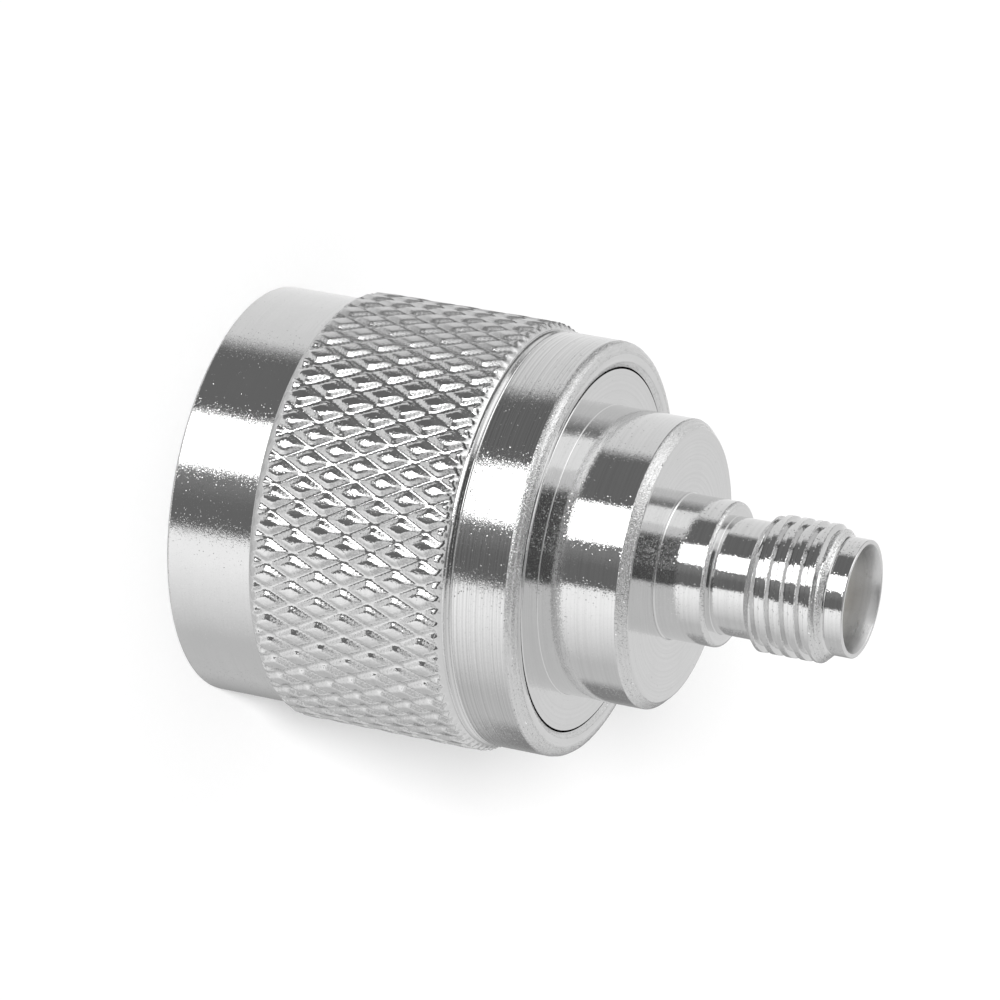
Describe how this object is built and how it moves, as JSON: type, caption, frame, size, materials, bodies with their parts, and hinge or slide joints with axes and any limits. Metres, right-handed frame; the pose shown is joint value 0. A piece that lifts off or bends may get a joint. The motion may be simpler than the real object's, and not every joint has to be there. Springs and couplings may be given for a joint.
{
  "type": "coaxial connector adapter",
  "caption": "Coaxial adapter with a knurled screw-on N-size plug at one end and a small SMA-size threaded jack at the other.",
  "frame": {"origin": "centre of the coupling nut's open mouth, on the part's axis, which is the bottom centre of its box", "axes": "+Z along the axis, from the nut's mouth towards the small jack; X and Y are any two directions across it"},
  "size_m": [0.02, 0.02, 0.03],
  "materials": {
    "nut_nickel": "bright nickel plate over turned and knurled brass",
    "body_nickel": "bright nickel plate over turned brass",
    "jack_nickel": "bright nickel plate over turned brass",
    "contact_plate": "satin white bronze plate over turned brass",
    "spring_bronze": "plain spring bronze",
    "silicone": "matt moulded silicone",
    "ptfe": "turned white fluoropolymer",
    "gold_plate": "gold plate over turned brass"
  },
  "bodies": {
    "adapter": {"main_body": "body_nickel", "jack_body": "jack_nickel", "outer_contact": "contact_plate", "gasket": "silicone", "retaining_ring": "spring_bronze", "pin_insulator": "ptfe", "jack_insulator": "ptfe", "centre_pin": "gold_plate", "jack_contact": "gold_plate"},
    "nut": {"coupling_nut": "nut_nickel"}
  },
  "joints": [
    {"name": "nut_spin", "type": "hinge", "parent": "adapter", "child": "nut", "pos_m": [0, 0, 0.0086], "axis": [0, 0, 1], "continuous": true}
  ]
}
